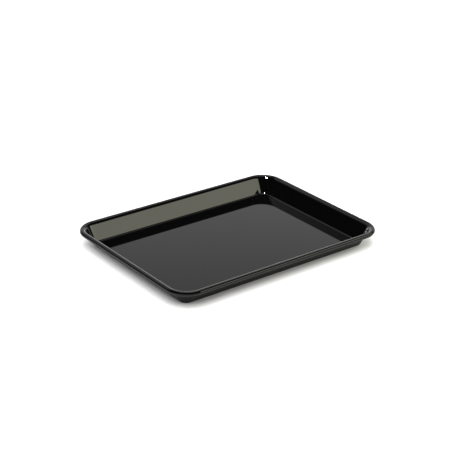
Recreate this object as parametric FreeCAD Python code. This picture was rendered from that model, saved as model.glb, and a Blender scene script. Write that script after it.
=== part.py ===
import FreeCAD, Part
import math
import os

# Shallow rectangular tray of black enamelled sheet steel.
# Millimetres, +Z up, +X along the long side.
# The origin is the centre of the underside, in the plane that the tray stands on.

# ---- driving dimensions ----------------------------------------------------
LENGTH = 400.0            # over the rim, along X
WIDTH = 300.0             # over the rim, along Y
HEIGHT = 29.0             # underside of the floor to the top of the rim
SHEET = 1.0               # steel sheet with its enamel on both faces

RIM_CORNER = 37.5         # plan radius of the rim's outside at a corner
BEAD_RADIUS = 3.7         # outside radius of the rolled bead
BEAD_SLOT = 75.0          # degrees between the rolled edge and the flat of the rim above it

WALL_ANGLE = 29.0         # degrees between the wall and the vertical
BASE_INSET = 23.5         # rim's outside to the foot of the wall, before its rounding
BASE_CORNER = 12.0        # plan radius of that foot line at a corner
FLOOR_FILLET = 3.0        # inside radius between floor and wall
SHOULDER = 7.5            # radius of the bend from the wall out to the flat of the rim

WIRE_CLEARANCE = 0.1      # left between the rim wire and the bead rolled around it

# ---- how closely an edge must match to be picked for rounding --------------
LEVEL_TOLERANCE = 0.0001
INSET_TOLERANCE = 0.001

# ---- sizes that follow -----------------------------------------------------
WALL_RUN = math.tan(math.radians(WALL_ANGLE))            # inset lost per millimetre of height
WALL_ACROSS = SHEET / math.cos(math.radians(WALL_ANGLE))  # the sheet measured level across the wall
BEAD_CENTRE_Z = HEIGHT - BEAD_RADIUS
BEAD_BORE = BEAD_RADIUS - SHEET
WIRE_RADIUS = BEAD_BORE - WIRE_CLEARANCE
BEAD_PATH_CORNER = RIM_CORNER - BEAD_RADIUS              # plan radius of the bead's centre line


def rounded_rectangle(inset, corner, z):
    """Closed wire of four straight sides and four quarter circles, inset from the rim's outside."""
    half_x = LENGTH / 2 - inset
    half_y = WIDTH / 2 - inset
    lean = corner * (1 - math.sqrt(0.5))
    edges = []
    for turn in range(4):
        sx = 1 if turn in (0, 3) else -1
        sy = 1 if turn in (0, 1) else -1
        on_x = FreeCAD.Vector(sx * half_x, sy * (half_y - corner), z)
        middle = FreeCAD.Vector(sx * (half_x - lean), sy * (half_y - lean), z)
        on_y = FreeCAD.Vector(sx * (half_x - corner), sy * half_y, z)
        start, end = (on_x, on_y) if turn in (0, 2) else (on_y, on_x)
        if edges:
            edges.append(Part.makeLine(edges[-1].Vertexes[-1].Point, start))
        edges.append(Part.Arc(start, middle, end).toShape())
    edges.append(Part.makeLine(edges[-1].Vertexes[-1].Point, edges[0].Vertexes[0].Point))
    return Part.Wire(edges)


def tapered_block(low_ring, high_ring):
    """Solid between two rounded rectangles, its sides flat and its corners conical."""
    return Part.makeLoft([low_ring, high_ring], True, True)


def level_plate(inset, corner, z, thickness):
    """Flat plate with the outline of a rounded rectangle."""
    return Part.Face(rounded_rectangle(inset, corner, z)).extrude(FreeCAD.Vector(0, 0, thickness))


def edges_at(shape, z, inset):
    """The edges of one ring: level at height z, with straight sides at this inset."""
    found = []
    for edge in shape.Edges:
        box = edge.BoundBox
        level = abs(box.ZMin - z) < LEVEL_TOLERANCE and abs(box.ZMax - z) < LEVEL_TOLERANCE
        far_x = max(abs(box.XMin), abs(box.XMax))
        far_y = max(abs(box.YMin), abs(box.YMax))
        on_ring = (abs(far_x - (LENGTH / 2 - inset)) < INSET_TOLERANCE
                   or abs(far_y - (WIDTH / 2 - inset)) < INSET_TOLERANCE)
        if level and on_ring:
            found.append(edge)
    return found


def rounded_ring(shape, radius, z, inset):
    return shape.makeFillet(radius, edges_at(shape, z, inset))


def pressed_dish():
    """Floor, walls and the flat of the rim, with the bends between them rounded."""
    flange_inset = BEAD_RADIUS
    flange_corner = RIM_CORNER - flange_inset
    under_z = HEIGHT - SHEET

    outer_top_inset = BASE_INSET - under_z * WALL_RUN
    outside = tapered_block(
        rounded_rectangle(BASE_INSET, BASE_CORNER, 0),
        rounded_rectangle(outer_top_inset, RIM_CORNER - outer_top_inset, under_z))
    outside = rounded_ring(outside, FLOOR_FILLET + SHEET, 0, BASE_INSET)
    outside = outside.fuse(level_plate(flange_inset, flange_corner, under_z, SHEET)).removeSplitter()
    outside = rounded_ring(outside, SHOULDER - SHEET, under_z, outer_top_inset)

    inner_low_inset = BASE_INSET + WALL_ACROSS - SHEET * WALL_RUN
    inner_top_inset = BASE_INSET + WALL_ACROSS - HEIGHT * WALL_RUN
    inside = tapered_block(
        rounded_rectangle(inner_low_inset, BASE_CORNER - (inner_low_inset - BASE_INSET), SHEET),
        rounded_rectangle(inner_top_inset, RIM_CORNER - inner_top_inset, HEIGHT))
    inside = rounded_ring(inside, FLOOR_FILLET, SHEET, inner_low_inset)

    dish = outside.cut(inside)
    return rounded_ring(dish, SHOULDER, HEIGHT, inner_top_inset)


def swept_round_rim(section, path_corner):
    """Sweep a section, drawn in the XZ plane at the +X side, once around the rim."""
    corner_x = LENGTH / 2 - BEAD_RADIUS - path_corner
    corner_y = WIDTH / 2 - BEAD_RADIUS - path_corner
    up = FreeCAD.Vector(0, 0, 1)
    pieces = []
    for quarter in range(4):
        along_y = quarter % 2 == 0
        half_run = corner_y if along_y else corner_x
        side_shift = 0.0 if along_y else corner_y - corner_x
        side = section.copy()
        side.translate(FreeCAD.Vector(side_shift, -half_run, 0))
        straight = side.extrude(FreeCAD.Vector(0, 2 * half_run, 0))
        bend_start = section.copy()
        bend_start.translate(FreeCAD.Vector(side_shift, half_run, 0))
        axis = FreeCAD.Vector(corner_x + side_shift, half_run, 0)
        bend = bend_start.revolve(axis, up, 90)
        for piece in (straight, bend):
            piece.rotate(FreeCAD.Vector(0, 0, 0), up, 90 * quarter)
            pieces.append(piece)
    return pieces


def bead_section():
    """The sheet rolled from the flat of the rim over, down and back under itself."""
    centre_x = LENGTH / 2 - BEAD_RADIUS
    first = math.radians(90)
    last = math.radians(90 - 360 + BEAD_SLOT)

    def point(radius, angle):
        return FreeCAD.Vector(centre_x + radius * math.cos(angle), 0,
                              BEAD_CENTRE_Z + radius * math.sin(angle))

    middle = (first + last) / 2
    outer = Part.Arc(point(BEAD_RADIUS, first), point(BEAD_RADIUS, middle), point(BEAD_RADIUS, last))
    inner = Part.Arc(point(BEAD_BORE, last), point(BEAD_BORE, middle), point(BEAD_BORE, first))
    lip = Part.makeLine(point(BEAD_RADIUS, last), point(BEAD_BORE, last))
    joint = Part.makeLine(point(BEAD_BORE, first), point(BEAD_RADIUS, first))
    return Part.Face(Part.Wire([outer.toShape(), lip, inner.toShape(), joint]))


def wire_section():
    centre = FreeCAD.Vector(LENGTH / 2 - BEAD_RADIUS, 0, BEAD_CENTRE_Z)
    circle = Part.Circle(centre, FreeCAD.Vector(0, 1, 0), WIRE_RADIUS)
    return Part.Face(Part.Wire(circle.toShape()))


def make_tray_pan():
    """Floor, walls, flange and rolled bead are one pressed and enamelled sheet."""
    bead = swept_round_rim(bead_section(), BEAD_PATH_CORNER)
    return pressed_dish().multiFuse(bead).removeSplitter()


def make_rim_wire():
    """The closed steel wire that the rim is rolled around."""
    first, *rest = swept_round_rim(wire_section(), BEAD_PATH_CORNER)
    return first.multiFuse(rest).removeSplitter()


def export(name, shape):
    """Write one node after testing that it is a single valid solid, and print its true size."""
    solids = shape.Solids
    if len(solids) != 1 or not solids[0].isValid():
        raise RuntimeError("%s isn't one valid solid: %d found" % (name, len(solids)))
    solids[0].exportStep("parts/%s.step" % name)
    box = solids[0].optimalBoundingBox()
    print("%s %.1f x %.1f x %.1f mm, %.0f mm3" % (name, box.XLength, box.YLength, box.ZLength,
                                                solids[0].Volume))


os.makedirs("parts", exist_ok=True)
export("tray_pan", make_tray_pan())
export("rim_wire", make_rim_wire())
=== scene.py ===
import math

import bpy
from mathutils import Matrix, Vector


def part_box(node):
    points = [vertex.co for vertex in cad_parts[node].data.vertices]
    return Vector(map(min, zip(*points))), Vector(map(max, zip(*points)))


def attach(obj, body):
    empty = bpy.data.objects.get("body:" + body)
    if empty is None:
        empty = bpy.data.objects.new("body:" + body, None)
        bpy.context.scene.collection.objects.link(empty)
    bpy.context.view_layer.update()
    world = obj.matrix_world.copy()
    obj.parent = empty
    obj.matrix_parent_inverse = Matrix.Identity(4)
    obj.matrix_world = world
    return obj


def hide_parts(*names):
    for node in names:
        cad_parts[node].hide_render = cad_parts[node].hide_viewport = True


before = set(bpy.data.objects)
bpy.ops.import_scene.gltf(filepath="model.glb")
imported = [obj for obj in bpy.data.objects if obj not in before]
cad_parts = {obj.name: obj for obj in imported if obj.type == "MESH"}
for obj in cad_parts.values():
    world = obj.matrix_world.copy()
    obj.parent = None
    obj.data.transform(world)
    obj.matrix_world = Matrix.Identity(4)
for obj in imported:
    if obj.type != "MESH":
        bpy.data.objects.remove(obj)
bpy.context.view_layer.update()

UP = Vector((0, 0, 1))

# ---- driving dimensions, in metres, those of the pressed pan ----------------
PAN_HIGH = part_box("tray_pan")[1]
HALF_LENGTH = PAN_HIGH.x
HALF_WIDTH = PAN_HIGH.y
HEIGHT = PAN_HIGH.z
SHEET = 0.001
RIM_CORNER = 0.0375                      # plan radius of the rim's outside at a corner
BEAD_RADIUS = 0.0037
BEAD_SLOT = 75                           # degrees between the rolled edge and the flat of the rim
WALL_ANGLE = 29                          # degrees between the wall and the vertical
BASE_INSET = 0.0235                      # rim's outside to the foot of the wall, before its rounding
BASE_CORNER = 0.012                      # plan radius of that foot line at a corner
FLOOR_FILLET = 0.003
SHOULDER = 0.0075                        # radius of the bend from the wall out to the rim

# ---- camera: angles in degrees, the aim in metres on the floor --------------
CAMERA_AZIMUTH = -37.88
CAMERA_ELEVATION = 24.87
CAMERA_ROLL = 1.01
CAMERA_DISTANCE = 2.12
CAMERA_AIM = Vector((0.0361, 0.0442, 0.0))
CAMERA_LENS = 101.67
SENSOR = 36
VIEW_END = 50                            # metres, past everything in view

# ---- light: azimuth in degrees from -Y towards +X, elevation in degrees ------
BACKDROP_AZIMUTH = 142
BACKDROP_CORE = 30                       # degrees from its middle that are fully lit
BACKDROP_EDGE = 62                       # degrees from its middle where it is dark
BACKDROP_LEVEL = 2.25                    # radiance at its foot
BACKDROP_TOP = 0.64                      # sine of the elevation at which it ends
GLOWS = (                                # direction, core and edge half-angles, radiance
    ((142, 68), 6, 20, 2.0),
    ((127, 45), 6, 17, 1.0),
    ((164, 41), 5, 16, 0.6),
    ((199, 40), 5, 20, 0.7),
)
SUNS = (                                 # name, direction, angle across the disc, strength
    ("key", (-58, 62), 50, 3.2),
    ("fill", (0, 90), 170, 2.35),
)
SOFTBOX_PLACE = (0.42, -0.43, 0.315)
SOFTBOX_TARGET = (0, 0.13, 0.30)
SOFTBOX_WIDTH = 0.70
SOFTBOX_HEIGHT = 0.23
SOFTBOX_RADIANCE = 3.0
SOFTBOX_TINT = (1.0, 1.0, 0.82)
LAMP_PLACE = (-0.345, -0.11, 0.73)
LAMP_TARGET = (0.162, 0.112, 0.02)
LAMP_SIZE = 0.12
LAMP_RADIANCE = 30                       # if it shone to all sides; its spread makes it brighter
LAMP_SPREAD = 22                         # degrees, to keep it near the far corner
WHITE = (1, 1, 1)
MIRRORED_TABLE = 0.50                    # painted shade: the table's brightness in the enamel's reflections, beside how it looks

TABLE_HALF = 30                          # far enough out to fill a low view
TABLE_GAP = 0.0002                       # keeps the table's face off the tray's

# ---- finishes: colours are linear, noise scales in cells per metre -----------
ENAMEL_COLOR = (0.0015, 0.0015, 0.0016, 1)
ENAMEL_IOR = 1.5
ENAMEL_ROUGHNESS = (0.015, 0.035)
ENAMEL_SMEAR_SCALE = 9
ENAMEL_WAVE_SCALE = 25
ENAMEL_WAVE_STRENGTH = 0.02
ENAMEL_WAVE_HEIGHT = 0.001               # metres
STEEL_COLOR = (0.45, 0.45, 0.46, 1)
STEEL_DARK = (0.25, 0.22, 0.19, 1)
STEEL_ROUGHNESS = (0.3, 0.5)
STEEL_GRIME_SCALE = 300
TABLE_COLOR = (0.86, 0.86, 0.86, 1)
TABLE_DARK = (0.84, 0.84, 0.84, 1)
TABLE_ROUGHNESS = 0.9
TABLE_GRAIN_SCALE = 40
NOISE_MIDDLE = (0.3, 0.7)                # the stretch of a noise's values that is spread out

# ---- how finely the mesh follows its curves ---------------------------------
CORNER_STEPS = 32
FILLET_STEPS = 12
SHOULDER_STEPS = 16
BEAD_STEPS = 48
WALL_STEPS = 4


# ---- the pan's mesh ---------------------------------------------------------
class Skin:
    """One face of the sheet: the inside or the outside of the dish, as it runs through the corners.

    Between two level lines, where its sides would meet the floor and the rim if nothing were
    rounded, each straight side is flat and each corner is a cone. The bends at the foot and at the
    rim have one radius each in every upright section, so every section is smooth."""

    def __init__(self, low_inset, low_corner, low_z, high_inset, high_z, fillet, shoulder):
        self.low_z = low_z
        self.high_z = high_z
        self.fillet = fillet
        self.shoulder = shoulder
        self.low_corner = low_corner
        self.high_corner = RIM_CORNER - high_inset
        self.low_centre = corner_centre(low_inset + low_corner)
        self.high_centre = corner_centre(RIM_CORNER)

    def section(self, outward):
        """Points and normals from the floor up to the flat of the rim, in one corner direction."""
        low = self.low_centre + self.low_corner * outward
        high = self.high_centre + self.high_corner * outward
        run = (high - low).dot(outward)
        lean = math.atan2(run, self.high_z - self.low_z)
        on_wall = outward * math.cos(lean) - UP * math.sin(lean)

        def ruling(z):
            return low.lerp(high, (z - self.low_z) / (self.high_z - self.low_z)) + UP * z

        foot = ruling(self.low_z + self.fillet * (1 - math.sin(lean)))
        top = ruling(self.high_z - self.shoulder * (1 - math.sin(lean)))
        foot_centre = foot - on_wall * self.fillet
        top_centre = top + on_wall * self.shoulder
        points = []
        for step in range(FILLET_STEPS + 1):
            angle = math.pi / 2 + (lean - math.pi / 2) * step / FILLET_STEPS
            way = outward * math.cos(angle) - UP * math.sin(angle)
            points.append((foot_centre + way * self.fillet, -way))
        for step in range(1, WALL_STEPS):
            points.append((foot.lerp(top, step / WALL_STEPS), -on_wall))
        for step in range(SHOULDER_STEPS + 1):
            angle = lean + (math.pi / 2 - lean) * step / SHOULDER_STEPS
            way = outward * math.cos(angle) - UP * math.sin(angle)
            points.append((top_centre - way * self.shoulder, -way))
        return points


def corner_centre(inset):
    return Vector((HALF_LENGTH - inset, HALF_WIDTH - inset, 0))


def bead_arc(outward, radius, first, last):
    """Points and outward normals along the rolled bead's section, between two angles in degrees."""
    centre = corner_centre(RIM_CORNER) + outward * (RIM_CORNER - BEAD_RADIUS)
    centre += UP * (HEIGHT - BEAD_RADIUS)
    points = []
    for step in range(BEAD_STEPS + 1):
        angle = math.radians(first + (last - first) * step / BEAD_STEPS)
        way = outward * math.cos(angle) + UP * math.sin(angle)
        points.append((centre + way * radius, way))
    return points


def pan_skins():
    run = math.tan(math.radians(WALL_ANGLE))
    across = SHEET / math.cos(math.radians(WALL_ANGLE))
    outer_top = BASE_INSET - (HEIGHT - SHEET) * run
    inner_low = BASE_INSET + across - SHEET * run
    inner_top = BASE_INSET + across - HEIGHT * run
    outside = Skin(BASE_INSET, BASE_CORNER, 0, outer_top, HEIGHT - SHEET,
                   FLOOR_FILLET + SHEET, SHOULDER - SHEET)
    inside = Skin(inner_low, BASE_CORNER - inner_low + BASE_INSET, SHEET, inner_top, HEIGHT,
                  FLOOR_FILLET, SHOULDER)
    return inside, outside


def pan_section(inside, outside, outward):
    """The closed section as stretches of (point, normal): inside and bead, edge, bore and outside.

    A stretch starts on the point where the one before it ends, with its own normal there."""
    rolled_to = 90 - 360 + BEAD_SLOT
    bead = bead_arc(outward, BEAD_RADIUS, 90, rolled_to)
    bore = bead_arc(outward, BEAD_RADIUS - SHEET, rolled_to, 90)
    along = (bead[-1][0] - bead[-2][0]).normalized()
    edge = [(bead[-1][0], along), (bore[0][0], along)]
    bore = [(point, -way) for point, way in bore]
    under = [(point, -way) for point, way in reversed(outside.section(outward))]
    return [inside.section(outward) + bead, edge, bore + under]


def swept_sections():
    """The section at every step around the tray, each quarter mirrored from the first."""
    inside, outside = pan_skins()
    sections = []
    for quarter in range(4):
        flip = Vector((1 if quarter in (0, 3) else -1, 1 if quarter in (0, 1) else -1, 1))
        for step in range(CORNER_STEPS + 1):
            turn = math.pi / 2 * step / CORNER_STEPS
            if quarter in (1, 3):
                turn = math.pi / 2 - turn
            outward = Vector((math.cos(turn), math.sin(turn), 0))
            stretches = pan_section(inside, outside, outward)
            sections.append([[(point * flip, way * flip) for point, way in stretch]
                             for stretch in stretches])
    return sections


def build_pan():
    """Join the sections into one closed mesh, its normals worked out with the sections."""
    sections = swept_sections()
    vertices = []
    rings = []
    for section in sections:
        ring = []
        for stretch in section:
            for point, way in stretch[1 if ring else 0:]:
                ring.append(len(vertices))
                vertices.append(point)
        rings.append(ring)

    faces = []
    normals = []
    neighbours = list(zip(sections, sections[1:] + sections[:1], rings, rings[1:] + rings[:1]))
    for here, there, here_ring, there_ring in neighbours:
        spot = 0
        for here_stretch, there_stretch in zip(here, there):
            for step in range(len(here_stretch) - 1):
                faces.append((here_ring[spot], here_ring[spot + 1],
                              there_ring[spot + 1], there_ring[spot]))
                normals += [here_stretch[step][1], here_stretch[step + 1][1],
                            there_stretch[step + 1][1], there_stretch[step][1]]
                spot += 1
    faces.append([ring[0] for ring in rings])
    normals += [UP] * len(rings)
    faces.append([ring[-1] for ring in reversed(rings)])
    normals += [-UP] * len(rings)

    mesh = bpy.data.meshes.new("enamelled_pan")
    mesh.from_pydata([tuple(point) for point in vertices], [], faces)
    for polygon in mesh.polygons:
        polygon.use_smooth = True
    mesh.normals_split_custom_set([tuple(way.normalized()) for way in normals])
    pan = bpy.data.objects.new("enamelled_pan", mesh)
    bpy.context.scene.collection.objects.link(pan)
    return pan


# ---- materials --------------------------------------------------------------
def new_material(name):
    material = bpy.data.materials.new(name)
    material.use_nodes = True
    nodes = material.node_tree.nodes
    nodes.clear()
    output = nodes.new("ShaderNodeOutputMaterial")
    shader = nodes.new("ShaderNodeBsdfPrincipled")
    material.node_tree.links.new(shader.outputs["BSDF"], output.inputs["Surface"])
    return material, shader


def add_noise(material, scale, detail):
    """Noise in the object's own coordinates, scale in cells per metre."""
    tree = material.node_tree
    place = tree.nodes.new("ShaderNodeTexCoord")
    noise = tree.nodes.new("ShaderNodeTexNoise")
    noise.inputs["Scale"].default_value = scale
    noise.inputs["Detail"].default_value = detail
    tree.links.new(place.outputs["Object"], noise.inputs["Vector"])
    return noise


def spread_noise(material, noise, limits):
    """Spread the middle of a noise's values between two limits."""
    tree = material.node_tree
    spread = tree.nodes.new("ShaderNodeMapRange")
    spread.inputs["From Min"].default_value = NOISE_MIDDLE[0]
    spread.inputs["From Max"].default_value = NOISE_MIDDLE[1]
    spread.inputs["To Min"].default_value = limits[0]
    spread.inputs["To Max"].default_value = limits[1]
    tree.links.new(noise.outputs["Fac"], spread.inputs["Value"])
    return spread.outputs["Result"]


def enamel_material():
    """Fired black enamel: a glossy glass, barely wavy, its gloss uneven by a little."""
    material, shader = new_material("black_enamel")
    tree = material.node_tree
    shader.inputs["Base Color"].default_value = ENAMEL_COLOR
    shader.inputs["IOR"].default_value = ENAMEL_IOR
    smear = add_noise(material, ENAMEL_SMEAR_SCALE, detail=3)
    tree.links.new(spread_noise(material, smear, ENAMEL_ROUGHNESS), shader.inputs["Roughness"])
    wave = add_noise(material, ENAMEL_WAVE_SCALE, detail=2)
    bump = tree.nodes.new("ShaderNodeBump")
    bump.inputs["Strength"].default_value = ENAMEL_WAVE_STRENGTH
    bump.inputs["Distance"].default_value = ENAMEL_WAVE_HEIGHT
    tree.links.new(wave.outputs["Fac"], bump.inputs["Height"])
    tree.links.new(bump.outputs["Normal"], shader.inputs["Normal"])
    return material


def wire_material():
    """Drawn steel wire: grey, with darker blotches that are also duller."""
    material, shader = new_material("steel_wire")
    tree = material.node_tree
    shader.inputs["Metallic"].default_value = 1
    grime = add_noise(material, STEEL_GRIME_SCALE, detail=4)
    tint = tree.nodes.new("ShaderNodeMix")
    tint.data_type = "RGBA"
    tint.inputs["A"].default_value = STEEL_COLOR
    tint.inputs["B"].default_value = STEEL_DARK
    tree.links.new(grime.outputs["Fac"], tint.inputs["Factor"])
    tree.links.new(tint.outputs["Result"], shader.inputs["Base Color"])
    tree.links.new(spread_noise(material, grime, STEEL_ROUGHNESS), shader.inputs["Roughness"])
    return material


def floor_material():
    """A matt white table with a faint grain, with painted shade: its colour is darker where the enamel
    mirrors it than as it is seen.
    """
    material, shader = new_material("white_table")
    tree = material.node_tree
    grain = add_noise(material, TABLE_GRAIN_SCALE, detail=2)
    tint = tree.nodes.new("ShaderNodeMix")
    tint.data_type = "RGBA"
    tint.inputs["A"].default_value = TABLE_COLOR
    tint.inputs["B"].default_value = TABLE_DARK
    tree.links.new(grain.outputs["Fac"], tint.inputs["Factor"])
    # painted shade: glossy rays see the table's colour multiplied by MIRRORED_TABLE
    path = tree.nodes.new("ShaderNodeLightPath")
    dim = tree.nodes.new("ShaderNodeMix")
    dim.data_type = "RGBA"
    dim.blend_type = "MULTIPLY"
    dim.inputs["B"].default_value = (MIRRORED_TABLE, MIRRORED_TABLE, MIRRORED_TABLE, 1)
    tree.links.new(path.outputs["Is Glossy Ray"], dim.inputs["Factor"])
    tree.links.new(tint.outputs["Result"], dim.inputs["A"])
    tree.links.new(dim.outputs["Result"], shader.inputs["Base Color"])
    shader.inputs["Roughness"].default_value = TABLE_ROUGHNESS
    return material


# ---- stage, lights, camera ---------------------------------------------------
def build_floor():
    half = TABLE_HALF
    mesh = bpy.data.meshes.new("table")
    corners = [(-half, -half, 0), (half, -half, 0), (half, half, 0), (-half, half, 0)]
    mesh.from_pydata(corners, [], [(0, 1, 2, 3)])
    floor = bpy.data.objects.new("table", mesh)
    mesh.materials.append(floor_material())
    bpy.context.scene.collection.objects.link(floor)
    floor.location.z = -TABLE_GAP


def direction(azimuth, elevation):
    """Unit vector from the tray; azimuth in degrees, 0 towards -Y and 90 towards +X."""
    turn = math.radians(azimuth)
    rise = math.radians(elevation)
    level = math.cos(rise)
    return Vector((math.sin(turn) * level, -math.cos(turn) * level, math.sin(rise)))


def build_camera():
    camera = bpy.data.objects.new("camera", bpy.data.cameras.new("camera"))
    bpy.context.scene.collection.objects.link(camera)
    back = direction(CAMERA_AZIMUTH, CAMERA_ELEVATION)
    right = UP.cross(back).normalized()
    up = back.cross(right)
    roll = math.radians(CAMERA_ROLL)
    across = right * math.cos(roll) + up * math.sin(roll)
    upward = up * math.cos(roll) - right * math.sin(roll)
    turn = Matrix((across, upward, back)).transposed()
    camera.matrix_world = Matrix.Translation(CAMERA_AIM + back * CAMERA_DISTANCE) @ turn.to_4x4()
    camera.data.lens = CAMERA_LENS
    camera.data.sensor_width = SENSOR
    camera.data.clip_end = VIEW_END
    bpy.context.scene.camera = camera


def add_glow(tree, toward, core, edge, level):
    """Radiance of a soft-edged round light in the surrounding room, its half-angles in degrees."""
    place = tree.nodes.new("ShaderNodeTexCoord")
    facing = tree.nodes.new("ShaderNodeVectorMath")
    facing.operation = "DOT_PRODUCT"
    facing.inputs[1].default_value = toward
    tree.links.new(place.outputs["Generated"], facing.inputs[0])
    fall = tree.nodes.new("ShaderNodeMapRange")
    fall.interpolation_type = "SMOOTHSTEP"
    fall.inputs["From Min"].default_value = math.cos(math.radians(edge))
    fall.inputs["From Max"].default_value = math.cos(math.radians(core))
    fall.inputs["To Min"].default_value = 0
    fall.inputs["To Max"].default_value = level
    tree.links.new(facing.outputs["Value"], fall.inputs["Value"])
    return fall.outputs["Result"]


def add_backdrop(tree):
    """Radiance of the lit wall behind the tray: brightest at its foot, and fading to both sides."""
    place = tree.nodes.new("ShaderNodeTexCoord")
    split = tree.nodes.new("ShaderNodeSeparateXYZ")
    tree.links.new(place.outputs["Generated"], split.inputs["Vector"])
    height = tree.nodes.new("ShaderNodeMapRange")
    height.inputs["From Min"].default_value = 0
    height.inputs["From Max"].default_value = BACKDROP_TOP
    height.inputs["To Min"].default_value = BACKDROP_LEVEL
    height.inputs["To Max"].default_value = 0
    tree.links.new(split.outputs["Z"], height.inputs["Value"])
    mask = add_glow(tree, direction(BACKDROP_AZIMUTH, 0), BACKDROP_CORE, BACKDROP_EDGE, 1)
    lit = tree.nodes.new("ShaderNodeMath")
    lit.operation = "MULTIPLY"
    tree.links.new(height.outputs["Result"], lit.inputs[0])
    tree.links.new(mask, lit.inputs[1])
    return lit.outputs["Value"]


def build_world():
    """The dark room around the table: a lit backdrop and a few soft round glows."""
    world = bpy.data.worlds.new("studio")
    bpy.context.scene.world = world
    world.use_nodes = True
    tree = world.node_tree
    tree.nodes.clear()
    output = tree.nodes.new("ShaderNodeOutputWorld")
    background = tree.nodes.new("ShaderNodeBackground")
    tree.links.new(background.outputs["Background"], output.inputs["Surface"])
    total = add_backdrop(tree)
    for toward, core, edge, level in GLOWS:
        add = tree.nodes.new("ShaderNodeMath")
        add.operation = "ADD"
        tree.links.new(total, add.inputs[0])
        tree.links.new(add_glow(tree, direction(*toward), core, edge, level), add.inputs[1])
        total = add.outputs["Value"]
    tree.links.new(total, background.inputs["Strength"])


def build_suns():
    """A wide soft key from the side and a fill from above; both light the table but aren't mirrored."""
    for name, toward, spread, strength in SUNS:
        data = bpy.data.lights.new(name, "SUN")
        data.angle = math.radians(spread)
        data.energy = strength
        sun = bpy.data.objects.new(name, data)
        bpy.context.scene.collection.objects.link(sun)
        sun.rotation_euler = direction(*toward).to_track_quat("Z", "Y").to_euler()
        sun.visible_glossy = False


def add_panel(name, place, target, width, height, radiance, color):
    """An evenly lit panel that shows in the enamel but not to the camera."""
    data = bpy.data.lights.new(name, "AREA")
    data.shape = "RECTANGLE"
    data.size = width
    data.size_y = height
    data.energy = radiance * math.pi * width * height
    data.color = color
    light = bpy.data.objects.new(name, data)
    bpy.context.scene.collection.objects.link(light)
    light.location = place
    light.rotation_euler = (Vector(place) - Vector(target)).to_track_quat("Z", "Y").to_euler()
    light.visible_camera = False
    return light


def build_panels():
    """The softbox beside the tray, and a small lamp for the highlights in its far corner."""
    add_panel("softbox", SOFTBOX_PLACE, SOFTBOX_TARGET, SOFTBOX_WIDTH, SOFTBOX_HEIGHT,
              SOFTBOX_RADIANCE, SOFTBOX_TINT)
    lamp = add_panel("corner_lamp", LAMP_PLACE, LAMP_TARGET, LAMP_SIZE, LAMP_SIZE, LAMP_RADIANCE, WHITE)
    lamp.data.spread = math.radians(LAMP_SPREAD)
    lamp.visible_diffuse = False


# ---- the scene ----------------------------------------------------------------
pan = build_pan()
pan.data.materials.append(enamel_material())
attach(pan, "root")
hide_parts("tray_pan")

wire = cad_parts["rim_wire"]
wire.data.materials.clear()
wire.data.materials.append(wire_material())

build_floor()
build_world()
build_panels()
build_suns()
build_camera()
bpy.context.scene.view_settings.view_transform = "Standard"
